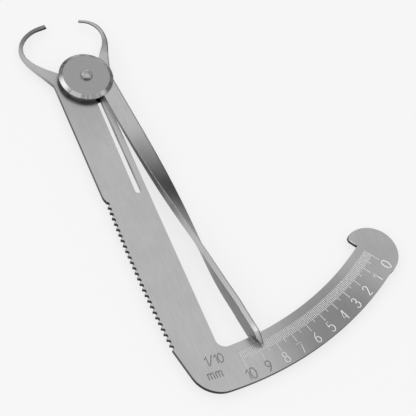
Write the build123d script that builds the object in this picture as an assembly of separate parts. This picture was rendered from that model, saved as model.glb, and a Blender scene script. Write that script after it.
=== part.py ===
from build123d import *
import math
import os

# Crown gauge: a plate with a fixed jaw and a tenth-millimetre scale, and a
# pointer with the moving jaw, riveted together between two discs.
# Millimetres. +Z is the pivot axis towards the scale side, and the plate's arm
# runs along -Y. The origin is on the pivot axis, in the rear rivet head's end
# face. Angles on the scale are counted from -Y towards +X. The pointer stands
# where the jaws are set_reading apart.

# Thicknesses of the riveted stack, from the back to the front
rear_head_height = 0.5
back_disc_thickness = 0.75
plate_thickness = 1.1
lever_thickness = 1.35
cover_disc_thickness = 0.7
front_head_height = 0.65

# Fits
sliding_gap = 0.02          # between the lever and the flat faces on both sides
running_clearance = 0.04    # radial, rivet in the lever
seat_clearance = 0.01       # radial, rivet and pin in the pieces that they hold
stop_clearance = 0.06       # pointer to nose, and pin to tongue, at the ends of the swing
pointer_gap = 0.3           # pointer tip above the scale
pin_foot_gap = 0.1          # pin above the back disc
cut_margin = 2.0            # cutting shapes reach this far past what they cut

# What the gauge measures
full_reading = 10.0
set_reading = 8.7
most_open_reading = 10.2
jaw_radius = 18.5           # pivot to where the jaw tips touch
zero_angle = 36.55          # scale angle of the zero mark

# Plate arm and grip
arm_left = 8.05
arm_right = 3.15
grip_start = 34.6
grip_end_gap = 3.0          # from the grip's end to the level of the scale's inner edge
grip_teeth = 27
grip_relief = 0.4           # the teeth's crests lie this far inside the arm's edge
notch_depth = 0.58
notch_share = 0.7           # of a tooth's pitch
crest_rounding = 0.06
grip_run_in = 1.6
heel_inset = 3.75           # the left edge's lean, where it meets the outer edge
heel_radius = 7.3
inner_corner_radius = 2.3

# Scale
scale_inner_radius = 79.0
scale_width = 10.3
nose_radius = 6.9
nose_angle = 36.97
nose_bulge = 0.3            # the nose stands out from the scale's outer edge
nose_corner_radius = 1.2    # at the tip of the nose, beside the stop face
mark_margin = 2.0           # from the scale's inner edge to the marks
minor_mark_length = 2.3
half_mark_length = 3.1
major_mark_length = 4.3
mark_width = 0.15
mark_depth = 0.07
marks_per_millimetre = 10

# Spring tongue, cut free of the arm by a slot
slot_left = 0.12
slot_left_top = 0.56
slot_width = 1.53
slot_length = 34.5
tongue_end = 2.4            # below the pivot
tongue_end_gap = 0.5

# Hub, discs, rivet and pin
hub_radius = 4.2
lever_hub_radius = 5.9
disc_radius = 6.87
disc_flat_radius = 5.9
disc_rim = 0.12
rivet_radius = 1.0
rivet_head_radius = 1.5
head_rounding = 0.3
pin_radius = 0.5
pin_height = 3.0            # below the pivot, towards the scale

# Jaws
left_tip_angle = 11.9       # of the fixed tip's end face, from +Y towards -X
tip_inset = 0.3             # the tips' inner edges lie this far inside the jaw radius
left_tip_width = 1.0
right_tip_width = 0.62
tip_thickness = 0.55
jaw_bend_start = 5.0        # the moving jaw bends down into the plate's layer
jaw_bend_end = 13.5
jaw_thinning_start = 7.5    # the fixed jaw gets thinner from here to its tip

# Jaw outlines with the gauge closed, in jaw radii from the pivot. Each runs along one edge.
left_jaw_outer = [
    (-0.351, 0.992), (-0.524, 0.919), (-0.665, 0.778), (-0.708, 0.638), (-0.673, 0.459),
    (-0.546, 0.222), (-0.459, 0.065),
]
left_jaw_inner = [
    (-0.184, 0.097), (-0.324, 0.2), (-0.514, 0.357), (-0.627, 0.514), (-0.651, 0.638),
    (-0.551, 0.832), (-0.378, 0.932),
]
right_jaw_outer = [
    (0.315, 0.18), (0.248, 0.523), (0.222, 0.71), (0.179, 0.834), (0.069, 0.965),
    (-0.043, 1.005),
]
right_jaw_inner = [
    (-0.031, 0.965), (0.104, 0.862), (0.154, 0.717), (0.156, 0.584), (0.141, 0.388),
]
left_jaw_foot = 0.195       # the fixed jaw runs out into the arm this far below the pivot

# Pointer
pointer_offset = 4.0        # the pointer's middle line passes the pivot this far off
lever_width = 4.35
lever_straight_start = 3.0
twist_start = 15.5
blade_length = 5.7          # about, from the twist's end to the scale's inner edge
twist_steps = 10
bend_length = 17.0          # about, from the bend to the scale's inner edge
pointer_bend = 2.2          # the pointer's end is set a little to the right
blade_clearance = 0.5       # blade end to the scale's inner edge
tip_reach = 3.4             # the tip passes this far over the scale
tip_slope_length = 3.1      # the tip's top slopes down from here, before its end
tip_shoulder_length = 1.45  # and more steeply from here
tip_shoulder_drop = 0.8
tip_point = 0.3

# Places that follow from these, in the plane
tip_inner_radius = jaw_radius - tip_inset
scale_outer_radius = scale_inner_radius + scale_width
mark_start_radius = scale_inner_radius + mark_margin
grip_end = scale_inner_radius - grip_end_gap
twist_end = scale_inner_radius - blade_length
bend_start = scale_inner_radius - bend_length
pointer_tip_radius = scale_inner_radius + tip_reach

# Levels
plate_back = rear_head_height + back_disc_thickness
plate_front = plate_back + plate_thickness
lever_back = plate_front + sliding_gap
lever_front = lever_back + lever_thickness
lever_middle = (lever_back + lever_front) / 2
cover_back = lever_front + sliding_gap
cover_front = cover_back + cover_disc_thickness


def opening_angle(reading):
    """Pointer angle from zero, in degrees, at which the tips are a reading apart."""
    return math.degrees(2 * math.asin(reading / (2 * jaw_radius)))


def on_scale(radius, angle):
    """Point at a radius from the pivot and a scale angle."""
    turn = math.radians(angle)
    return (radius * math.sin(turn), -radius * math.cos(turn))


def on_jaws(radius, angle):
    """Point at a radius from the pivot and an angle from +Y towards +X."""
    turn = math.radians(angle)
    return (radius * math.sin(turn), radius * math.cos(turn))


def jaw_points(shares, turn=0.0):
    """Points given in jaw radii, turned about the pivot."""
    return [Vector(x, y).rotate(Axis.Z, turn) * jaw_radius for x, y in shares]


def nearest(shape, point):
    """The vertex of a flat shape that lies nearest a point."""
    return shape.vertices().sort_by_distance(point)[0]


def pointer_distance(radius, right=0.0):
    """Distance along the pointer where a line beside its middle reaches a radius."""
    bend = math.radians(pointer_bend)
    across = pointer_offset + right * math.cos(bend)
    along = bend_start - right * math.sin(bend)
    run = across * math.sin(bend) + along * math.cos(bend)
    return bend_start - run + math.sqrt(run**2 - across**2 - along**2 + radius**2)


def pointer_frame(angle, distance):
    """Point on the pointer's middle line, with the directions along and across it."""
    turn = math.radians(angle)
    along = Vector(math.sin(turn), -math.cos(turn), 0)
    across = Vector(math.cos(turn), math.sin(turn), 0)
    straight = min(distance, bend_start)
    point = across * pointer_offset + along * straight
    if distance > bend_start:
        along = along.rotate(Axis.Z, pointer_bend)
        across = across.rotate(Axis.Z, pointer_bend)
    return point + along * (distance - straight), along, across


def pointer_plane(distance, twist=0.0):
    """Cross-section plane of the pointer at rest, a distance from the pivot."""
    point, along, across = pointer_frame(pointer_angle, distance)
    roll = math.radians(twist)
    width_way = across * math.cos(roll) - Vector(0, 0, 1) * math.sin(roll)
    return Plane(origin=point + Vector(0, 0, lever_middle), x_dir=width_way, z_dir=along)


# The pointer's right face is its reading edge
set_angle = opening_angle(set_reading)
reading_angle = zero_angle - set_angle
tip_distance = pointer_distance(pointer_tip_radius, lever_thickness / 2)
tip_middle, _, tip_across = pointer_frame(0, tip_distance)
tip_edge = tip_middle + tip_across * (lever_thickness / 2)
pointer_angle = reading_angle - math.degrees(math.atan2(tip_edge.X, -tip_edge.Y))
closed_pointer_angle = pointer_angle + set_angle
right_tip_angle = set_angle - left_tip_angle


def scale_sector(inner, outer, start, end):
    """Flat ring sector between two radii and two scale angles."""
    middle = (start + end) / 2
    rim = ThreePointArc(on_scale(outer, start), on_scale(outer, middle), on_scale(outer, end))
    bore = ThreePointArc(on_scale(inner, end), on_scale(inner, middle), on_scale(inner, start))
    sides = [Line(rim @ 1, bore @ 0), Line(bore @ 1, rim @ 0)]
    return make_face([rim, sides[0], bore, sides[1]])


def left_jaw():
    """Flat outline of the fixed jaw, from inside the hub to its tip."""
    outer_tip = on_jaws(tip_inner_radius + left_tip_width, -left_tip_angle)
    inner_tip = on_jaws(tip_inner_radius, -left_tip_angle)
    foot = (-arm_left, -left_jaw_foot * jaw_radius)
    outer = Spline(
        [outer_tip, *jaw_points(left_jaw_outer), foot],
        tangents=[on_jaws(1, -left_tip_angle - 88), (0, -1)],
    )
    inner = Spline(
        [*jaw_points(left_jaw_inner), inner_tip],
        tangents=[(-1.3, 0.9), on_jaws(1, 88 - left_tip_angle)],
    )
    root = Polyline([outer @ 1, (0, (outer @ 1).Y), (0, (inner @ 0).Y), inner @ 0])
    return make_face([outer, root, inner, Line(inner @ 1, outer @ 0)])


def jaw_thinning():
    """Wedge that the fixed jaw loses from its back, so that its tip is thin."""
    end = jaw_radius + cut_margin
    slope = (plate_thickness - tip_thickness) / (jaw_radius - jaw_thinning_start)
    rise = plate_back + slope * (end - jaw_thinning_start)
    upright = Plane(origin=(0, 0, 0), x_dir=(0, 1, 0), z_dir=(1, 0, 0))
    wedge = Polygon(
        (jaw_thinning_start, plate_back), (end, rise), (end, plate_back - cut_margin),
        (jaw_thinning_start, plate_back - cut_margin), align=None,
    )
    return extrude(upright * wedge, 2 * jaw_radius, both=True)


def grip_cut():
    """What the arm's left edge loses to the grip's rounded teeth."""
    top = -arm_left + grip_relief
    crests = ThreePointArc(
        (top, -grip_start), (top - grip_relief, -(grip_start + grip_end) / 2),
        (top + grip_relief, -grip_end),
    )
    inside = Vector(notch_depth, 0)
    outside = Vector(crest_rounding, 0)
    start = (-arm_left, -grip_start + grip_run_in)
    edges = [Spline([start, crests @ 0], tangents=[(0, -1), (1, -2)])]
    wave_end = crests @ 0
    for tooth in range(grip_teeth):
        first = crests @ ((tooth + (1 - notch_share) / 2) / grip_teeth)
        middle = crests @ ((tooth + 0.5) / grip_teeth)
        last = crests @ ((tooth + (1 + notch_share) / 2) / grip_teeth)
        if tooth > 0:
            edges.append(ThreePointArc(wave_end, (wave_end + first) / 2 - outside, first))
        else:
            edges.append(Line(wave_end, first))
        edges.append(ThreePointArc(first, middle + inside, last))
        wave_end = last
    outer = -2 * arm_left
    edges.append(Polyline([wave_end, crests @ 1, (outer, -grip_end), (outer, start[1]), start]))
    return make_face(edges)


def stopped_nose(outline):
    """Add the nose, cut so that the blade's right face meets it at zero."""
    centre = Vector(*on_scale(scale_outer_radius + nose_bulge - nose_radius, nose_angle))
    outline += Pos(centre) * Circle(nose_radius)
    point, along, across = pointer_frame(closed_pointer_angle, scale_inner_radius)
    face = point + across * (lever_thickness / 2 + stop_clearance)
    middle = face - across * nose_radius
    turn = closed_pointer_angle + pointer_bend
    strip = Pos(middle) * Rot(0, 0, turn) * Rectangle(2 * nose_radius, 4 * nose_radius)
    outline -= strip & Circle(scale_inner_radius)
    # the stop face ends where its line meets the nose's round outline
    reach = (face - centre).dot(along)
    back = reach + math.sqrt(reach**2 - (face - centre).length ** 2 + nose_radius**2)
    return fillet(nearest(outline, face - along * back), nose_corner_radius)


def gauge_plate_outline():
    """Flat outline of the plate: fixed jaw, hub, arm, scale and nose."""
    heel_angle = math.degrees(math.atan2(heel_inset - arm_left, scale_outer_radius))
    heel = on_scale(scale_outer_radius, heel_angle)
    grip_foot = (-arm_left + 2 * grip_relief, -grip_end)
    scale_middle_radius = (scale_inner_radius + scale_outer_radius) / 2
    arm = Polygon(
        (-arm_left, 0), (-arm_left, -grip_end), grip_foot, heel,
        (arm_right, -scale_middle_radius), (arm_right, 0), align=None,
    )
    sector = scale_sector(scale_inner_radius, scale_outer_radius, heel_angle, nose_angle)
    outline = arm + sector
    outline = fillet(nearest(outline, heel), heel_radius)
    inner_corner = (arm_right, -math.sqrt(scale_inner_radius**2 - arm_right**2))
    outline = fillet(nearest(outline, inner_corner), inner_corner_radius)
    outline = stopped_nose(outline) - grip_cut()
    return outline + left_jaw() + Circle(hub_radius)


def spring_space():
    """Slot that frees the spring tongue, and the gap round the tongue's free end."""
    bottom = -slot_length + slot_width / 2
    right = slot_left + slot_width
    gap_top = -tongue_end + tongue_end_gap
    reach = hub_radius + cut_margin
    slot = Polygon(
        (slot_left, bottom), (right, bottom), (right, -tongue_end), (reach, -tongue_end),
        (reach, gap_top), (slot_left_top, gap_top), align=None,
    )
    beside = Polygon(
        (arm_right, -reach), (reach, -reach), (reach, gap_top), (arm_right, gap_top), align=None
    )
    return slot + beside + Pos(slot_left + slot_width / 2, bottom) * Circle(slot_width / 2)


def scale_marks():
    """Grooves of the scale, one for each tenth of a millimetre."""
    grooves = []
    for step in range(int(full_reading * marks_per_millimetre) + 1):
        angle = zero_angle - opening_angle(step / marks_per_millimetre)
        length = minor_mark_length
        if step % marks_per_millimetre == 0:
            length = major_mark_length
        elif step % (marks_per_millimetre // 2) == 0:
            length = half_mark_length
        groove = Box(mark_width, length, 2 * mark_depth)
        middle = on_scale(mark_start_radius + length / 2, angle)
        grooves.append(Pos(middle[0], middle[1], plate_front) * Rot(0, 0, angle) * groove)
    return grooves


def make_gauge_plate():
    outline = gauge_plate_outline() - spring_space() - Circle(rivet_radius + seat_clearance)
    plate = extrude(Pos(0, 0, plate_back) * outline, plate_thickness)
    return plate - jaw_thinning() - scale_marks()


def jaw_side_band():
    """Side view of the moving jaw: it leaves the lever's layer for the plate's."""
    tip_back = plate_front - tip_thickness
    end = jaw_radius + cut_margin
    start = -2 * jaw_radius
    top = Spline(
        [(jaw_bend_start, lever_front), (jaw_bend_end, plate_front)], tangents=[(1, 0), (1, 0)]
    )
    bottom = Spline(
        [(jaw_bend_end, tip_back), (jaw_bend_start, lever_back)], tangents=[(-1, 0), (-1, 0)]
    )
    ends = Polyline([top @ 1, (end, plate_front), (end, tip_back), bottom @ 0])
    hub = Polyline([bottom @ 1, (start, lever_back), (start, lever_front), top @ 0])
    upright = Plane(origin=(0, 0, 0), x_dir=(0, 1, 0), z_dir=(1, 0, 0))
    return extrude(upright * make_face([top, ends, bottom, hub]), 2 * jaw_radius, both=True)


def right_jaw():
    """Flat outline of the moving jaw, with the lever's hub and flat arm."""
    outer_tip = on_jaws(tip_inner_radius + right_tip_width, right_tip_angle)
    inner_tip = on_jaws(tip_inner_radius, right_tip_angle)
    foot = pointer_plane(twist_start)
    knee = pointer_plane(lever_straight_start)
    half = lever_width / 2
    foot_right = foot.from_local_coords(Vector(half, 0, 0))
    foot_left = foot.from_local_coords(Vector(-half, 0, 0))
    knee_right = knee.from_local_coords(Vector(half, 0, 0))
    knee_left = knee.from_local_coords(Vector(-half, 0, 0))
    outer = Spline(
        [(knee_right.X, knee_right.Y), *jaw_points(right_jaw_outer, -set_angle), outer_tip],
        tangents=[(-foot.z_dir.X, -foot.z_dir.Y), on_jaws(1, right_tip_angle - 86)],
    )
    inner = Spline(
        [inner_tip, *jaw_points(right_jaw_inner, -set_angle)],
        tangents=[on_jaws(1, right_tip_angle + 86), Vector(0, -1).rotate(Axis.Z, -set_angle)],
    )
    inside = Polyline([
        inner @ 1, (0, 0), (knee_left.X, knee_left.Y), (foot_left.X, foot_left.Y),
        (foot_right.X, foot_right.Y), (knee_right.X, knee_right.Y),
    ])
    face = make_face([outer, Line(outer @ 1, inner @ 0), inner, inside])
    return face + Circle(lever_hub_radius)


def make_twist():
    """Quarter twist of the pointer, from lying flat to standing on edge."""
    sections = []
    for step in range(twist_steps + 1):
        part = step / twist_steps
        distance = twist_start + (twist_end - twist_start) * part
        roll = 90 * (1 - math.cos(math.pi * part)) / 2
        sections.append(pointer_plane(distance, roll) * Rectangle(lever_width, lever_thickness))
    return loft(sections)


def make_blade():
    """Standing end of the pointer: a deep blade, and a tip that passes over the scale."""
    start = pointer_plane(twist_end, 90)
    blade_end = pointer_distance(scale_inner_radius - blade_clearance) - twist_end
    tip_end = tip_distance - twist_end
    underside = plate_front + pointer_gap - lever_middle
    half_width = lever_width / 2
    half = lever_thickness / 2
    side = Plane(origin=start.origin, x_dir=start.z_dir, z_dir=-start.y_dir)
    shoulder = (tip_end - tip_shoulder_length, half_width - tip_shoulder_drop)
    profile = Polygon(
        (0, -half_width), (blade_end, -half_width), (blade_end, underside), (tip_end, underside),
        (tip_end, underside + tip_point), shoulder, (tip_end - tip_slope_length, half_width),
        (0, half_width), align=None,
    )
    blade = extrude(side * profile, half, both=True)
    # the tip's left side is ground away, so that the tip ends at the reading edge
    low = underside + tip_point / 2
    heel = side.from_local_coords(Vector(blade_end, low, half))
    point = side.from_local_coords(Vector(tip_end, low, tip_point / 2 - half))
    crest = side.from_local_coords(Vector(*shoulder, half))
    facet = Plane(origin=heel, x_dir=point - heel, z_dir=(point - heel).cross(crest - heel))
    corner = (Align.CENTER, Align.CENTER, Align.MIN)
    waste = facet * Box(*[4 * lever_width] * 3, align=corner)
    tip_region = start.offset(blade_end) * Box(*[4 * lever_width] * 3, align=corner)
    return blade - (waste & tip_region)


def upright_cylinder(radius, bottom, top):
    """Cylinder round the pivot axis between two levels."""
    return Pos(0, 0, (bottom + top) / 2) * Cylinder(radius, top - bottom)


def pin_position():
    """Place of the drive pin, which just clears the tongue when the gauge is fully open."""
    swing = math.radians(opening_angle(most_open_reading) - set_angle)
    across = arm_right + pin_radius + pin_height * math.sin(swing) + stop_clearance
    return Pos(across, -pin_height, 0)


def make_pointer_lever():
    bottom = plate_back - cut_margin
    top = lever_front + cut_margin
    flat = extrude(Pos(0, 0, bottom) * right_jaw(), top - bottom)
    lever = (flat & jaw_side_band()) + make_twist() + make_blade()
    lever -= upright_cylinder(rivet_radius + running_clearance, bottom, top)
    return lever - pin_position() * upright_cylinder(pin_radius + seat_clearance, bottom, top)


def make_drive_pin():
    return pin_position() * upright_cylinder(pin_radius, plate_back + pin_foot_gap, lever_front)


def disc(thickness):
    """Disc with a bore and a wide chamfer on its upper side, standing on the plane z = 0."""
    bore = rivet_radius + seat_clearance
    section = Polygon(
        (bore, 0), (disc_radius, 0), (disc_radius, disc_rim), (disc_flat_radius, thickness),
        (bore, thickness), align=None,
    )
    return revolve(Plane.XZ * section, Axis.Z)


def make_cover_disc():
    return Pos(0, 0, cover_back) * disc(cover_disc_thickness)


def make_back_disc():
    return Pos(0, 0, plate_back) * Rot(180, 0, 0) * disc(back_disc_thickness)


def make_pivot_rivet():
    shank = upright_cylinder(rivet_radius, rear_head_height, cover_front)
    rear_head = upright_cylinder(rivet_head_radius, 0, rear_head_height)
    front_head = upright_cylinder(rivet_head_radius, cover_front, cover_front + front_head_height)
    front_head = fillet(front_head.edges().sort_by(Axis.Z)[-1], head_rounding)
    return shank + rear_head + front_head


os.makedirs("parts", exist_ok=True)
nodes = {
    "gauge_plate": make_gauge_plate(),
    "pointer_lever": make_pointer_lever(),
    "cover_disc": make_cover_disc(),
    "back_disc": make_back_disc(),
    "pivot_rivet": make_pivot_rivet(),
    "drive_pin": make_drive_pin(),
}
for name, solid in nodes.items():
    export_step(solid, f"parts/{name}.step")
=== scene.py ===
import math

import bmesh
import bpy
from mathutils import Matrix, Vector


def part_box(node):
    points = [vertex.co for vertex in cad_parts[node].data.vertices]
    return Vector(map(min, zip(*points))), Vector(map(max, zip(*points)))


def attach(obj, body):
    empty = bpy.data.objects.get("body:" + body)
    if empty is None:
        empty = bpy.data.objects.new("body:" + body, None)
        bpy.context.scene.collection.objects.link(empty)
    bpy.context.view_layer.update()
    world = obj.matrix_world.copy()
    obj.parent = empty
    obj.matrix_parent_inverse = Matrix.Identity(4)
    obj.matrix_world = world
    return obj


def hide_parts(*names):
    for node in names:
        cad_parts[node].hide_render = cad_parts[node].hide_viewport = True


# Looks of a crown gauge. Metres. The frame is the CAD's: the origin is on the pivot axis, in the
# face that the gauge rests on, +Y runs along the arm to the jaws and +Z towards the scale side.

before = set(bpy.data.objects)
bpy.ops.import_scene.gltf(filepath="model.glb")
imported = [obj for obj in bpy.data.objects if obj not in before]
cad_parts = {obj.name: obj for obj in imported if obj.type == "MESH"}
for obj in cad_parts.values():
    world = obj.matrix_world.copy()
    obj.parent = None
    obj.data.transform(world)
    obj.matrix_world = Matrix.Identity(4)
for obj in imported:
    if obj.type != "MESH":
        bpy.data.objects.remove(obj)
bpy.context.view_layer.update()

MM = 0.001
plate_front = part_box("gauge_plate")[1].z
disc_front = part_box("cover_disc")[1].z

# Scale, as the CAD has it. Marks are measured from the pivot.
jaw_radius = 18.5 * MM
zero_angle = 36.55              # degrees from -Y towards +X
full_reading = 10
mark_start = 81.0 * MM
minor_mark_end = 83.3 * MM
half_mark_end = 84.1 * MM
major_mark_end = 85.3 * MM

# Corners of the sheet
same_point = 0.0002 * MM        # mesh corners nearer than this are joined
flat_turn = 0.5                 # degrees. Faces that turn by less are one flat face.
rim_turn = 60                   # degrees. A rim turns by more.
smooth_turn = 28                # degrees. What turns by more is shaded sharp.
rim_round = 0.12 * MM
worn_round = 0.3 * MM           # in front, on the jaws' inner side and the pointer's stop
worn_depth = 0.1 * MM           # worn rims lie within this of the front
jaw_space_start = 9.5 * MM      # above this, the jaws are free of the discs
jaw_middle = Vector((-1.0, 13.5, 0)) * MM
stop_tip_x = (45.0 * MM, 47.3 * MM)
stop_tip_y = (-63.6 * MM, -59.0 * MM)
lowest_lever_rim = -12.0 * MM   # below this, the twisted strip keeps its sharp rims

# Engraving. A cutter is round, and its middle passes a lift above the plate.
mark_cutter_radius = 0.13 * MM
mark_cutter_lift = 0.065 * MM
letter_cutter_radius = 0.17 * MM
letter_cutter_lift = 0.09 * MM
numeral_height = 2.7 * MM
numeral_radius = 87.25 * MM     # to the numerals' middles
unit_height = 2.3 * MM
unit_lines = (                  # text, height, middle
    ("1/10", unit_height, (0.9 * MM, -81.0 * MM)),
    ("mm", 1.15 * unit_height, (-0.2 * MM, -84.2 * MM)),
)

# Finishes
grain_along_arm = (900.0, 60.0, 900.0)      # how close the grain lies along X, Y and Z
satin_roughness = 0.34
cut_edge_roughness = 0.46
# Grey of the highlight painted on the corners
gleam_grey = 0.9
tool_mark_depth = 0.01 * MM
bevel_samples = 6

# Camera, as the photograph was taken
camera_place = (-0.12445, -0.20486, 0.32347)
camera_right = (0.90145, -0.38421, 0.19943)
camera_up = (0.23621, 0.82265, 0.51716)
camera_back = (-0.36276, -0.41909, 0.83233)
camera_lens = 138.46

# Studio
gauge_middle = Vector((0.01, -0.035, 0.0))
ceiling_middle = (-0.05, 0.22, 0.97)        # direction in which the ceiling is brightest
horizon_light = 0.32
floor_reach = 3.0
floor_glow = 0.7


# Shader node helpers

def feed(tree, value, socket):
    """Link an output to an input socket, or set a value on it."""
    if isinstance(value, bpy.types.NodeSocket):
        tree.links.new(value, socket)
    else:
        socket.default_value = value


def feed_all(tree, node, **values):
    """Feed a node's input sockets by name, with _ for a space."""
    for name, value in values.items():
        feed(tree, value, node.inputs[name.replace("_", " ")])


def math_node(tree, operation, a, b=None):
    """A math node on links or numbers. Returns its output."""
    node = tree.nodes.new("ShaderNodeMath")
    node.operation = operation
    feed(tree, a, node.inputs[0])
    if b is not None:
        feed(tree, b, node.inputs[1])
    return node.outputs[0]


def vector_node(tree, operation, a, b=None):
    """A vector math node on links or vectors. Returns its output."""
    node = tree.nodes.new("ShaderNodeVectorMath")
    node.operation = operation
    feed(tree, a, node.inputs[0])
    if b is not None:
        feed(tree, b, node.inputs[1])
    is_number = operation in ("DISTANCE", "DOT_PRODUCT", "LENGTH")
    return node.outputs["Value" if is_number else "Vector"]


def map_range(tree, value, from_min, from_max, to_min=0.0, to_max=1.0):
    """Clamped smooth map of a value from one range to another."""
    node = tree.nodes.new("ShaderNodeMapRange")
    node.interpolation_type = "SMOOTHSTEP"
    feed_all(
        tree, node, Value=value, From_Min=from_min, From_Max=from_max, To_Min=to_min, To_Max=to_max
    )
    return node.outputs["Result"]


def all_of(tree, *masks):
    """Product of masks."""
    product = masks[0]
    for mask in masks[1:]:
        product = math_node(tree, "MULTIPLY", product, mask)
    return product


def noise(tree, place, **values):
    """Noise at a place."""
    node = tree.nodes.new("ShaderNodeTexNoise")
    feed_all(tree, node, Vector=place, **values)
    return node.outputs["Fac"]


def grey(value):
    return (value, value, value, 1.0)


def grey_from(tree, value):
    """A grey with its level from a link."""
    node = tree.nodes.new("ShaderNodeCombineColor")
    for channel in node.inputs:
        tree.links.new(value, channel)
    return node.outputs[0]


def mix_colour(tree, factor, a, b):
    """Mix of two colours, which are links or greys."""
    node = tree.nodes.new("ShaderNodeMix")
    node.data_type = "RGBA"
    factor_input, first_colour, second_colour = (node.inputs[index] for index in (0, 6, 7))
    feed(tree, factor, factor_input)
    feed(tree, a, first_colour)
    feed(tree, b, second_colour)
    return node.outputs[2]


def parts_of(tree, vector):
    """A vector's X, Y and Z outputs."""
    node = tree.nodes.new("ShaderNodeSeparateXYZ")
    tree.links.new(vector, node.inputs[0])
    return node.outputs


def from_pivot(tree, place):
    """The level way from the pivot axis to a place, and its length."""
    way = vector_node(tree, "MULTIPLY", place, (1, 1, 0))
    return way, vector_node(tree, "LENGTH", way)


def side_of(tree, normal):
    """X, Y and Z of a normal along the piece's own axes, so that a mask moves with its piece."""
    turn = tree.nodes.new("ShaderNodeVectorTransform")
    turn.vector_type = "NORMAL"
    turn.convert_from = "WORLD"
    turn.convert_to = "OBJECT"
    tree.links.new(normal, turn.inputs[0])
    return parts_of(tree, turn.outputs[0])


def true_normal(tree):
    return tree.nodes.new("ShaderNodeNewGeometry").outputs["True Normal"]


def bevelled_normal(tree, width):
    """Normal that rounds the corners by a width."""
    bevel = tree.nodes.new("ShaderNodeBevel")
    bevel.samples = bevel_samples
    feed(tree, width, bevel.inputs["Radius"])
    return bevel.outputs[0]


def bump(tree, height, strength, distance, normal=None):
    """Normal that follows a height."""
    node = tree.nodes.new("ShaderNodeBump")
    feed_all(tree, node, Height=height, Strength=strength, Distance=distance)
    if normal is not None:
        tree.links.new(normal, node.inputs["Normal"])
    return node.outputs[0]


def new_group(name, inputs, outputs):
    """An empty shader node group. inputs are (name, socket type, default), outputs are names."""
    group = bpy.data.node_groups.new(name, "ShaderNodeTree")
    for socket_name, kind, default in inputs:
        socket = group.interface.new_socket(socket_name, in_out="INPUT", socket_type=kind)
        if default is not None:
            socket.default_value = default
    for socket_name in outputs:
        group.interface.new_socket(socket_name, in_out="OUTPUT", socket_type="NodeSocketFloat")
    given = group.nodes.new("NodeGroupInput").outputs
    return group, given, group.nodes.new("NodeGroupOutput")


def use_group(tree, group, place=None, **values):
    """Add a shared effect, with its Vector from a place if it has one. Returns its outputs."""
    node = tree.nodes.new("ShaderNodeGroup")
    node.node_tree = group
    feed_all(tree, node, **values)
    if place is not None:
        tree.links.new(place, node.inputs["Vector"])
    return node.outputs


# Shared surface effects

def make_cut_edges():
    """Masks of the sheared edges, of their corners, and of those that look along -Y.

    A face belongs to the edge from a slope of Start on, and fully from End on. Both are the
    upright part of its normal.
    """
    group, given, result = new_group(
        "cut_edges",
        [("Start", "NodeSocketFloat", 0.97), ("End", "NodeSocketFloat", 0.7)],
        ["Mask", "Corner", "Low"],
    )
    side = side_of(group, true_normal(group))
    flatness = math_node(group, "ABSOLUTE", side["Z"])
    feed_all(
        group, result,
        Mask=map_range(group, flatness, given["Start"], given["End"]),
        Corner=map_range(group, flatness, 0.15, 0.3),
        Low=map_range(group, side["Y"], -0.1, -0.5),
    )
    return group


def make_engraving():
    """Mask and grey of the grooves that are cut into a flat front, Level above the origin. The grey is
    painted darker, as painted shade, on the unit, on the last numerals and towards the last marks.

    Each pair here is where an effect starts and where it is full.
    """
    scale_inner_side = (mark_start - 2.5 * MM, mark_start - 2.3 * MM)           # radius
    scale_outer_side = (numeral_radius + 1.9 * MM, numeral_radius + 1.7 * MM)
    numerals = (major_mark_end + 0.2 * MM, major_mark_end + 0.4 * MM)
    unit_left_side = (-4.0 * MM, -3.8 * MM)                                     # X
    unit = (5.0 * MM, 4.0 * MM)
    last_numerals = (15.5 * MM, 14.5 * MM)
    last_to_first_mark = (8.0 * MM, 48.0 * MM)
    floor_depth = (0.002 * MM, 0.006 * MM)
    open_upwards = (0.3, 0.4)
    # Greys of the painted shade in the grooves
    shaded_text_grey = 0.28
    shaded_last_mark_grey = 0.76

    group, given, result = new_group(
        "engraving",
        [("Vector", "NodeSocketVector", None), ("Level", "NodeSocketFloat", 0.001)],
        ["Mask", "Metal"],
    )
    place = parts_of(group, given["Vector"])
    radius = from_pivot(group, given["Vector"])[1]
    depth = math_node(group, "SUBTRACT", given["Level"], place["Z"])
    side = side_of(group, true_normal(group))
    in_last_numerals = all_of(
        group,
        map_range(group, radius, *numerals), map_range(group, place["X"], *last_numerals),
    )
    # Painted shade on the unit and the last numerals, and towards the last marks
    in_painted_shade = math_node(
        group, "MAXIMUM", map_range(group, place["X"], *unit), in_last_numerals
    )
    painted_dark_text = map_range(group, in_painted_shade, 0.0, 1.0, 1.0, shaded_text_grey)
    shade_to_last_marks = map_range(group, place["X"], *last_to_first_mark, shaded_last_mark_grey, 1.0)
    groove = all_of(
        group,
        map_range(group, depth, *floor_depth),
        map_range(group, side["Z"], *open_upwards),
        map_range(group, radius, *scale_inner_side),
        map_range(group, radius, *scale_outer_side),
        map_range(group, place["X"], *unit_left_side),
    )
    feed_all(group, result, Mask=groove, Metal=math_node(group, "MINIMUM", painted_dark_text, shade_to_last_marks))
    return group


def make_rubbed_edges():
    """Mask of the corners, where a highlight is painted."""
    group, given, result = new_group(
        "painted_corner_gleam", [("Width", "NodeSocketFloat", 0.0001)], ["Mask"]
    )
    normal = group.nodes.new("ShaderNodeNewGeometry").outputs["Normal"]
    likeness = vector_node(group, "DOT_PRODUCT", bevelled_normal(group, given["Width"]), normal)
    feed_all(group, result, Mask=map_range(group, likeness, 0.97, 0.8))
    return group


def make_round_patch():
    """Mask of a round patch, full near its Centre and gone at its Reach."""
    group, given, result = new_group(
        "round_patch",
        [
            ("Vector", "NodeSocketVector", None),
            ("Centre", "NodeSocketVector", (0.0, 0.0, 0.0)),
            ("Reach", "NodeSocketFloat", 0.02),
        ],
        ["Mask"],
    )
    apart = vector_node(group, "DISTANCE", given["Vector"], given["Centre"])
    share = math_node(group, "DIVIDE", apart, given["Reach"])
    feed_all(group, result, Mask=map_range(group, share, 1.0, 0.05))
    return group


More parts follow.
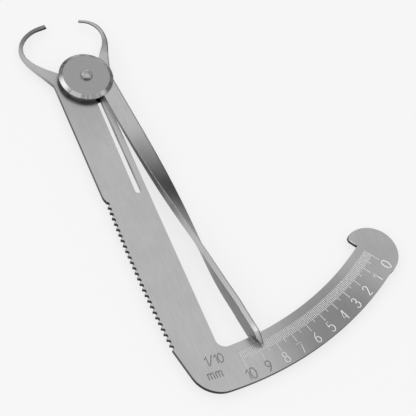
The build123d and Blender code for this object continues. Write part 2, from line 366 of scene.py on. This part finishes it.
def make_satin_grain():
    """Brushed lines and a soft mottle. Along is how close the lines lie along X, Y and Z."""
    group, given, result = new_group(
        "satin_grain",
        [
            ("Vector", "NodeSocketVector", None),
            ("Along", "NodeSocketVector", grain_along_arm),
            ("Mottle", "NodeSocketFloat", 150.0),
        ],
        ["Lines", "Mottle"],
    )
    stretched = vector_node(group, "MULTIPLY", given["Vector"], given["Along"])
    feed_all(
        group, result,
        Lines=noise(group, stretched, Scale=4.0, Detail=4.0, Roughness=0.65),
        Mottle=noise(group, given["Vector"], Scale=given["Mottle"], Detail=3.0, Roughness=0.5),
    )
    return group


def make_turned_rings():
    """Fine turning rings round the pivot axis, and streaks that change with the direction."""
    group, given, result = new_group(
        "turned_rings",
        [("Vector", "NodeSocketVector", None), ("Pitch", "NodeSocketFloat", 0.0002)],
        ["Rings", "Radius", "Streaks"],
    )
    way, radius = from_pivot(group, given["Vector"])
    rings = group.nodes.new("ShaderNodeTexNoise")
    rings.noise_dimensions = "1D"
    turns = math_node(group, "DIVIDE", radius, given["Pitch"])
    feed_all(group, rings, W=turns, Scale=1.0, Detail=2.0, Roughness=0.7)
    spoke = vector_node(group, "NORMALIZE", way)
    feed_all(
        group, result, Rings=rings.outputs["Fac"], Radius=radius,
        Streaks=noise(group, spoke, Scale=4.0, Detail=3.0, Roughness=0.6),
    )
    return group


cut_edges = make_cut_edges()
engraving = make_engraving()
round_patch = make_round_patch()
painted_corner_gleam = make_rubbed_edges()
satin_grain = make_satin_grain()
turned_rings = make_turned_rings()


# Materials

def new_material(name, metallic=1.0):
    """A bare Principled material. Returns it with its tree, shader and object coordinates."""
    material = bpy.data.materials.new(name)
    material.use_nodes = True
    tree = material.node_tree
    shader = next(n for n in tree.nodes if n.type == "BSDF_PRINCIPLED")
    shader.inputs["Metallic"].default_value = metallic
    place = tree.nodes.new("ShaderNodeTexCoord").outputs["Object"]
    return material, tree, shader, place


def satin_steel(name, face, edge, shaded_low_edge, slope, painted_light_patches, painted_edge_highlights, front=None,
                shaded_right_side=None, soften=None):
    """Brushed stainless sheet. face, edge and the grey after it are the greys of its flats, of its cut
    edges, and of those that look away from the jaws. Both edge greys are painted shade: the cut
    edges are painted dark, and darkest where they look along -Y.

    slope is the edges' Start and End. Each patch is a place where the flats are painted darker, as
    painted shade: (centre, reach, how much of the grey it takes away), and where that share is below
    zero, lighter, as a painted highlight. Each painted edge highlight is a place where the edges are
    painted lighter: (centre, reach, grey, share of it below the corners). front is the level of the
    face whose grooves get the engraving's grey. The grey for what looks along +X is painted shade.
    soften rounds the corners' shading by a width, and paints a highlight on them.
    """
    material, tree, shader, place = new_material(name)
    grain = use_group(tree, satin_grain, place, Along=grain_along_arm)
    unevenness = math_node(
        tree, "ADD",
        map_range(tree, grain["Lines"], 0.3, 0.7, -0.02, 0.02),
        map_range(tree, grain["Mottle"], 0.35, 0.65, -0.02, 0.02),
    )
    level = math_node(tree, "ADD", unevenness, face)
    # Painted shade on the flats round each patch, or a painted highlight where the share taken away is
    # below zero
    for centre, reach, painted_dimming in painted_light_patches:
        patch = use_group(tree, round_patch, place, Centre=centre, Reach=reach)
        left = map_range(tree, patch["Mask"], 0.0, 1.0, 1.0, 1.0 - painted_dimming)
        level = math_node(tree, "MULTIPLY", level, left)
    upright = use_group(tree, cut_edges, Start=slope[0], End=slope[1])
    # The cut edges' greys are painted shade: the edges are painted dark, darkest where they look along
    # -Y.
    edges = mix_colour(tree, upright["Low"], grey(edge), grey(shaded_low_edge))
    # Painted highlights on the edges
    for centre, reach, highlight_grey, share in painted_edge_highlights:
        patch = use_group(tree, round_patch, place, Centre=centre, Reach=reach)
        painted_sheen = all_of(tree, patch["Mask"], math_node(tree, "MAXIMUM", upright["Corner"], share))
        edges = mix_colour(tree, painted_sheen, edges, grey(highlight_grey))
    colour = mix_colour(tree, upright["Mask"], grey_from(tree, level), edges)
    normal = None
    if soften:
        normal = bevelled_normal(tree, soften)
        # Painted highlight on the corners
        gleam = use_group(tree, painted_corner_gleam, Width=1.5 * soften)
        colour = mix_colour(tree, gleam["Mask"], colour, grey(gleam_grey))
        # Painted shade on what looks along +X
        side = side_of(tree, bevelled_normal(tree, 7 * soften))
        right_shade = map_range(tree, side["X"], 0.1, 0.5)
        colour = mix_colour(tree, right_shade, colour, grey(shaded_right_side))
    if front is not None:
        groove = use_group(tree, engraving, place, Level=front)
        colour = mix_colour(tree, groove["Mask"], colour, grey_from(tree, groove["Metal"]))
    rough = math_node(
        tree, "ADD",
        map_range(tree, grain["Mottle"], 0.3, 0.7, -0.04, 0.04),
        map_range(tree, upright["Mask"], 0.0, 1.0, satin_roughness, cut_edge_roughness),
    )
    brushed = bump(tree, grain["Lines"], 0.12, tool_mark_depth, normal)
    feed_all(tree, shader, Base_Color=colour, Roughness=rough, Normal=brushed)
    return material


def turned_steel(name, face, glints):
    """Turned stainless disc, with a glossier chamfer. The chamfer's grey is painted reflection: streaks
    that change round it, and a painted highlight at each glint: (centre, reach)."""
    chamfer = (5.85 * MM, 5.95 * MM)        # radius where it starts, and where it is full
    chamfer_roughness = 0.16
    glint_grey = 0.95
    material, tree, shader, place = new_material(name)
    rings = use_group(tree, turned_rings, place, Pitch=0.25 * MM)
    level = map_range(tree, rings["Rings"], 0.3, 0.7, face - 0.03, face + 0.03)
    # Painted reflection on the chamfer: streaks round it, and painted highlights at the glints
    painted_sheen = map_range(tree, rings["Streaks"], 0.38, 0.62, 0.26, 0.5)
    for centre, reach in glints:
        patch = use_group(tree, round_patch, place, Centre=centre, Reach=reach)
        glint = math_node(tree, "MULTIPLY", patch["Mask"], glint_grey)
        painted_sheen = math_node(tree, "MAXIMUM", painted_sheen, glint)
    on_chamfer = map_range(tree, rings["Radius"], *chamfer)
    feed_all(
        tree, shader,
        Base_Color=mix_colour(tree, on_chamfer, grey_from(tree, level), grey_from(tree, painted_sheen)),
        Roughness=map_range(tree, rings["Radius"], *chamfer, satin_roughness, chamfer_roughness),
        Normal=bump(tree, rings["Rings"], 0.2, tool_mark_depth, bevelled_normal(tree, 0.08 * MM)),
    )
    return material


def peened_steel(name):
    """Rivet steel with the dents that the hammer left."""
    material, tree, shader, place = new_material(name)
    dents = noise(tree, place, Scale=900.0, Detail=2.0, Roughness=0.5)
    level = map_range(tree, dents, 0.35, 0.65, 0.25, 0.5)
    feed_all(
        tree, shader, Base_Color=grey_from(tree, level), Roughness=0.24,
        Normal=bump(tree, dents, 0.8, 0.25 * MM, bevelled_normal(tree, 0.1 * MM)),
    )
    return material


def pale_floor_material():
    """Matt white. What is seen of it, and mirrored, glows a little, which lightens its shadow."""
    material, tree, shader, _ = new_material("pale_floor", metallic=0.0)
    feed_all(tree, shader, Base_Color=grey(0.95), Roughness=1.0, Specular_IOR_Level=0.0)
    ray = tree.nodes.new("ShaderNodeLightPath").outputs
    seen = math_node(tree, "MAXIMUM", ray["Is Camera Ray"], ray["Is Glossy Ray"])
    glow = tree.nodes.new("ShaderNodeEmission")
    glow.inputs["Strength"].default_value = 1.0
    blend = tree.nodes.new("ShaderNodeMixShader")
    tree.links.new(math_node(tree, "MULTIPLY", seen, floor_glow), blend.inputs[0])
    tree.links.new(shader.outputs[0], blend.inputs[1])
    tree.links.new(glow.outputs[0], blend.inputs[2])
    output = next(n for n in tree.nodes if n.type == "OUTPUT_MATERIAL")
    tree.links.new(blend.outputs[0], output.inputs["Surface"])
    return material


def on_front(x, y, lift=0.0):
    """A place on the plate's front. All in millimetres."""
    return (x * MM, y * MM, plate_front + lift * MM)


# The plate's cut edges are painted near black, as painted shade.
plate_steel = satin_steel(
    "plate_steel", face=0.48, edge=0.08, shaded_low_edge=0.02, slope=(0.97, 0.7),
    painted_light_patches=(
        # Painted shade on the flats
        (on_front(34.5, -85.0), 31.0 * MM, 0.47),       # middle of the scale
        (on_front(53.0, -65.0), 14.0 * MM, 0.12),       # nose
        (on_front(-1.0, -4.0), 22.0 * MM, 0.12),        # round the hub
        (on_front(-8.5, 18.0), 11.0 * MM, 0.6),         # tip of the fixed jaw
    ),
    # Painted highlights on the edges
    painted_edge_highlights=(
        (on_front(-11.5, 8.0), 14.0 * MM, 0.5, 1.0),    # fixed jaw
        (on_front(46.2, -62.8), 3.0 * MM, 0.95, 0.0),   # the pointer's stop
        (on_front(2.0, -12.0), 8.0 * MM, 0.4, 1.0),     # slot
        (on_front(2.0, -22.0), 8.0 * MM, 0.4, 1.0),
        (on_front(2.0, -32.0), 8.0 * MM, 0.4, 1.0),
    ),
    front=plate_front,
)
# The lever's cut edges, and its twisted strip's faces from a slope of 0.55 on, are painted darker, as
# painted shade.
lever_steel = satin_steel(
    "lever_steel", face=0.48, edge=0.26, shaded_low_edge=0.14, slope=(0.55, 0.25),
    painted_light_patches=(
        # Painted shade on the twist, and painted highlights on the upper edge and on the reading tip's
        # facet
        (on_front(5.0, -30.0), 17.0 * MM, 0.45),        # twist
        (on_front(12.0, -74.0), 14.0 * MM, -0.15),      # upper edge near the scale
        (on_front(12.9, -78.5, 1.5), 4.0 * MM, -0.6),   # facet at the reading tip
    ),
    # Painted highlight on the edges below the disc
    painted_edge_highlights=((on_front(1.0, -10.0), 16.0 * MM, 0.7, 1.0),),        # below the disc
    # Painted shade on what looks along +X, and a painted highlight on the corners
    shaded_right_side=0.12, soften=0.1 * MM,
)
disc_steel = turned_steel(
    "disc_steel", face=0.34,
    glints=(
        ((-6.3 * MM, -0.8 * MM, disc_front), 4.2 * MM), ((2.4 * MM, -5.9 * MM, disc_front), 2.2 * MM),
    ),
)
rivet_steel = peened_steel("rivet_steel")
pale_floor = pale_floor_material()


# Pieces

def new_object(name, data):
    obj = bpy.data.objects.new(name, data)
    bpy.context.scene.collection.objects.link(obj)
    return obj


def finished_mesh(obj):
    """An object's mesh with its bevel and modifiers applied."""
    view = bpy.context.evaluated_depsgraph_get()
    return bpy.data.meshes.new_from_object(obj.evaluated_get(view))


def join_corners(mesh, distance, in_triangles=False):
    """Join a mesh's corners that are nearer than a distance."""
    shape = bmesh.new()
    shape.from_mesh(mesh)
    bmesh.ops.remove_doubles(shape, verts=shape.verts, dist=distance)
    if in_triangles:
        bmesh.ops.triangulate(shape, faces=shape.faces)
    shape.to_mesh(mesh)
    shape.free()


def shade_curves(mesh):
    """Shade a mesh smooth, but for its corners and its level faces."""
    for name in ("custom_normal", "UVMap"):
        if name in mesh.attributes:
            mesh.attributes.remove(mesh.attributes[name])
    mesh.set_sharp_from_angle(angle=math.radians(smooth_turn))
    for face in mesh.polygons:
        face.use_smooth = abs(face.normal.z) < 0.999


def round_rims(shape, rims, width, segments, clamped):
    """Round some rims. A clamped width gets smaller where a rim has no room for it."""
    bmesh.ops.bevel(
        shape, geom=rims, offset=width, segments=segments, profile=0.5, affect="EDGES",
        clamp_overlap=clamped, material=-1,
    )


def sharp_rims(shape, lowest):
    """Square corners of a sheet, above a place on the Y axis."""
    return [
        edge for edge in shape.edges
        if edge.calc_face_angle_signed(0) > math.radians(rim_turn)
        and min(corner.co.y for corner in edge.verts) > lowest
    ]


def wall_facing(edge):
    """Normal of the upright face beside a corner."""
    return min(edge.link_faces, key=lambda face: abs(face.normal.z)).normal


def borders_jaw_space(edge):
    corner = edge.verts[0].co
    inwards = jaw_middle - Vector((corner.x, corner.y, 0))
    return corner.y > jaw_space_start and wall_facing(edge).dot(inwards) > 0


def borders_stop(edge):
    return all(
        low < corner.co[axis] < high
        for corner in edge.verts for axis, (low, high) in enumerate((stop_tip_x, stop_tip_y))
    )


def dressed_copy(node, name, lowest_rim):
    """A CAD node's shape with its rims rounded and its curves shaded smooth."""
    shape = bmesh.new()
    shape.from_mesh(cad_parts[node].data)
    bmesh.ops.remove_doubles(shape, verts=shape.verts, dist=same_point)
    bmesh.ops.dissolve_limit(
        shape, angle_limit=math.radians(flat_turn), verts=shape.verts, edges=shape.edges
    )
    front = max(corner.co.z for corner in shape.verts if corner.co.y > jaw_space_start)
    for is_worn in (borders_jaw_space, borders_stop):
        worn_rims = [
            edge for edge in sharp_rims(shape, lowest_rim)
            if is_worn(edge) and min(corner.co.z for corner in edge.verts) > front - worn_depth
        ]
        round_rims(shape, worn_rims, worn_round, segments=3, clamped=False)
    round_rims(shape, sharp_rims(shape, lowest_rim), rim_round, segments=2, clamped=True)
    bmesh.ops.triangulate(shape, faces=shape.faces)
    mesh = bpy.data.meshes.new(name)
    shape.to_mesh(mesh)
    shape.free()
    shade_curves(mesh)
    return new_object(name, mesh)


# Strokes of the engraved characters, in cells one unit high. Each stroke is (kind, points).
strokes = {
    "0": [
        ("loop", [(0.28, 1.0), (0.5, 0.72), (0.5, 0.28), (0.28, 0.0), (0.06, 0.28), (0.06, 0.72)]),
    ],
    "1": [("line", [(0.08, 0.72), (0.34, 1.0), (0.34, 0.0)])],
    "2": [
        ("curve", [(0.08, 0.76), (0.2, 0.97), (0.4, 0.94), (0.49, 0.74), (0.38, 0.5), (0.07, 0.03)]),
        ("line", [(0.07, 0.02), (0.52, 0.02)]),
    ],
    "3": [
        ("curve", [(0.08, 0.84), (0.26, 1.0), (0.47, 0.86), (0.43, 0.62), (0.22, 0.54)]),
        ("curve", [(0.22, 0.54), (0.46, 0.46), (0.52, 0.24), (0.36, 0.02), (0.16, 0.02), (0.04, 0.18)]),
    ],
    "4": [("line", [(0.42, 1.0), (0.04, 0.3), (0.56, 0.3)]), ("line", [(0.42, 0.0), (0.42, 1.0)])],
    "5": [
        ("line", [(0.48, 1.0), (0.14, 1.0), (0.1, 0.56)]),
        ("curve", [(0.1, 0.56), (0.32, 0.64), (0.5, 0.46), (0.48, 0.16), (0.26, 0.0), (0.05, 0.14)]),
    ],
    "6": [
        ("curve", [(0.44, 1.0), (0.16, 0.66), (0.06, 0.34)]),
        ("loop", [(0.28, 0.0), (0.5, 0.28), (0.28, 0.55), (0.06, 0.28)]),
    ],
    "7": [("line", [(0.05, 1.0), (0.52, 1.0), (0.2, 0.0)])],
    "8": [
        ("loop", [(0.28, 1.0), (0.46, 0.78), (0.28, 0.55), (0.1, 0.78)]),
        ("loop", [(0.28, 0.55), (0.51, 0.28), (0.28, 0.0), (0.05, 0.28)]),
    ],
    "9": [
        ("curve", [(0.12, 0.0), (0.4, 0.34), (0.5, 0.66)]),
        ("loop", [(0.28, 0.45), (0.5, 0.72), (0.28, 1.0), (0.06, 0.72)]),
    ],
    "/": [("line", [(0.0, -0.05), (0.5, 1.05)])],
    "m": [
        ("line", [(0.05, 0.0), (0.05, 0.62)]),
        ("curve", [(0.05, 0.42), (0.16, 0.6), (0.3, 0.52), (0.32, 0.3), (0.32, 0.0)]),
        ("curve", [(0.32, 0.42), (0.43, 0.6), (0.57, 0.52), (0.59, 0.3), (0.59, 0.0)]),
    ],
}
cell_widths = {"1": 0.46, "m": 0.76, "/": 0.56}
cell_width = 0.62


def cutter_path(curve, points, kind):
    """Add one path to a curve: straight between its points, or smooth through them."""
    path = curve.splines.new("BEZIER")
    path.bezier_points.add(len(points) - 1)
    handle = "VECTOR" if kind == "line" else "AUTO"
    for knot, point in zip(path.bezier_points, points):
        knot.co = point
        knot.handle_left_type = handle
        knot.handle_right_type = handle
    path.use_cyclic_u = kind == "loop"


def engrave_text(layers, text, height, middle, turn):
    """Add a text's paths, centred on a point of the plate and turned about it, in degrees.

    The strokes of a character touch each other, so each goes to a curve of its own.
    """
    width = sum(cell_widths.get(character, cell_width) for character in text)
    place = (
        Matrix.Translation((middle[0], middle[1], plate_front + letter_cutter_lift))
        @ Matrix.Rotation(math.radians(turn), 4, "Z")
        @ Matrix.Scale(height, 4)
        @ Matrix.Translation((-width / 2, -0.5, 0))
    )
    pen = 0.0
    for character in text:
        for curve, (kind, points) in zip(layers, strokes[character]):
            cutter_path(curve, [place @ Vector((x + pen, y, 0)) for x, y in points], kind)
        pen += cell_widths.get(character, cell_width)


def on_scale(radius, angle, lift=0.0):
    """Point at a radius from the pivot and a scale angle, a lift above the plate."""
    turn = math.radians(angle)
    return Vector((radius * math.sin(turn), -radius * math.cos(turn), plate_front + lift))


def mark_angle(reading):
    """Scale angle of a reading in millimetres."""
    return zero_angle - math.degrees(2 * math.asin(reading * MM / (2 * jaw_radius)))


def cut_from(obj, curve, radius):
    """Cut the paths of a curve, as round-bottomed grooves, into a piece."""
    curve.dimensions = "3D"
    curve.bevel_depth = radius
    curve.bevel_resolution = 2
    curve.resolution_u = 5
    curve.use_fill_caps = True
    path = new_object("cutter_path", curve)
    cutter = new_object("cutter", finished_mesh(path))
    join_corners(cutter.data, same_point / 2)
    cut = obj.modifiers.new("cut", "BOOLEAN")
    cut.operation = "DIFFERENCE"
    cut.solver = "MANIFOLD"
    cut.object = cutter
    result = finished_mesh(obj)
    obj.modifiers.clear()
    obj.data = result
    bpy.data.objects.remove(path)
    bpy.data.objects.remove(cutter)


def engrave_scale(obj):
    """Cut the scale's marks, numerals and unit into the plate."""
    marks = bpy.data.curves.new("marks", "CURVE")
    for step in range(10 * full_reading + 1):
        end = minor_mark_end
        if step % 10 == 0:
            end = major_mark_end
        elif step % 5 == 0:
            end = half_mark_end
        angle = mark_angle(step / 10)
        ends = [on_scale(radius, angle, mark_cutter_lift) for radius in (mark_start, end)]
        cutter_path(marks, ends, "line")
    cut_from(obj, marks, mark_cutter_radius)
    most_strokes = max(len(drawn) for drawn in strokes.values())
    layers = [bpy.data.curves.new("letters", "CURVE") for _ in range(most_strokes)]
    for reading in range(full_reading + 1):
        angle = mark_angle(reading)
        engrave_text(layers, str(reading), numeral_height, on_scale(numeral_radius, angle), angle)
    for text, height, middle in unit_lines:
        engrave_text(layers, text, height, middle, 0)
    for layer in layers:
        cut_from(obj, layer, letter_cutter_radius)
    join_corners(obj.data, same_point, in_triangles=True)
    shade_curves(obj.data)


def finish_piece(obj, material, body):
    """Give a piece its material and the body that it moves with."""
    obj.data.materials.clear()
    obj.data.materials.append(material)
    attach(obj, body)


plate = dressed_copy("gauge_plate", "engraved_plate", -math.inf)
engrave_scale(plate)
finish_piece(plate, plate_steel, "frame")
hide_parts("gauge_plate")

lever = dressed_copy("pointer_lever", "brushed_pointer", lowest_lever_rim)
finish_piece(lever, lever_steel, "pointer")
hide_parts("pointer_lever")

for node, material in (
    ("cover_disc", disc_steel), ("back_disc", disc_steel),
    ("pivot_rivet", rivet_steel), ("drive_pin", rivet_steel),
):
    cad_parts[node].data.materials.clear()
    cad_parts[node].data.materials.append(material)


# Floor, light and camera

def make_floor():
    shape = bmesh.new()
    bmesh.ops.create_grid(shape, x_segments=1, y_segments=1, size=floor_reach)
    mesh = bpy.data.meshes.new("floor")
    shape.to_mesh(mesh)
    shape.free()
    mesh.materials.append(pale_floor)
    floor = new_object("floor", mesh)


def soft_box(name, direction, distance, width, height, watts):
    """Rectangular lamp that looks at the gauge's middle from a direction."""
    lamp = bpy.data.lights.new(name, "AREA")
    lamp.shape = "RECTANGLE"
    lamp.size = width
    lamp.size_y = height
    lamp.energy = watts
    box = new_object(name, lamp)
    back = Vector(direction).normalized()
    box.location = gauge_middle + back * distance
    box.rotation_mode = "QUATERNION"
    box.rotation_quaternion = (-back).to_track_quat("-Z", "Y")


def make_world():
    """A soft white ceiling that fades towards the horizon."""
    world = bpy.data.worlds.new("studio")
    world.use_nodes = True
    tree = world.node_tree
    background = next(n for n in tree.nodes if n.type == "BACKGROUND")
    direction = tree.nodes.new("ShaderNodeTexCoord").outputs["Generated"]
    height = vector_node(tree, "DOT_PRODUCT", direction, ceiling_middle)
    ceiling = map_range(tree, height, 0.4, 0.85, horizon_light, 1.0)
    feed_all(tree, background, Color=grey(1.0), Strength=ceiling)
    bpy.context.scene.world = world


def make_camera():
    lens = bpy.data.cameras.new("camera")
    lens.lens = camera_lens
    lens.sensor_width = 36.0
    lens.clip_start = 0.01
    camera = new_object("camera", lens)
    axes = Matrix((camera_right, camera_up, camera_back)).transposed().to_4x4()
    camera.matrix_world = Matrix.Translation(camera_place) @ axes
    bpy.context.scene.camera = camera


make_floor()
soft_box("left_box", (-0.82, -0.27, 0.5), distance=0.7, width=0.5, height=0.3, watts=0.65)
soft_box("right_box", (0.78, -0.57, 0.28), distance=0.7, width=0.3, height=0.25, watts=0.3)
make_world()
make_camera()
bpy.context.scene.view_settings.view_transform = "Standard"
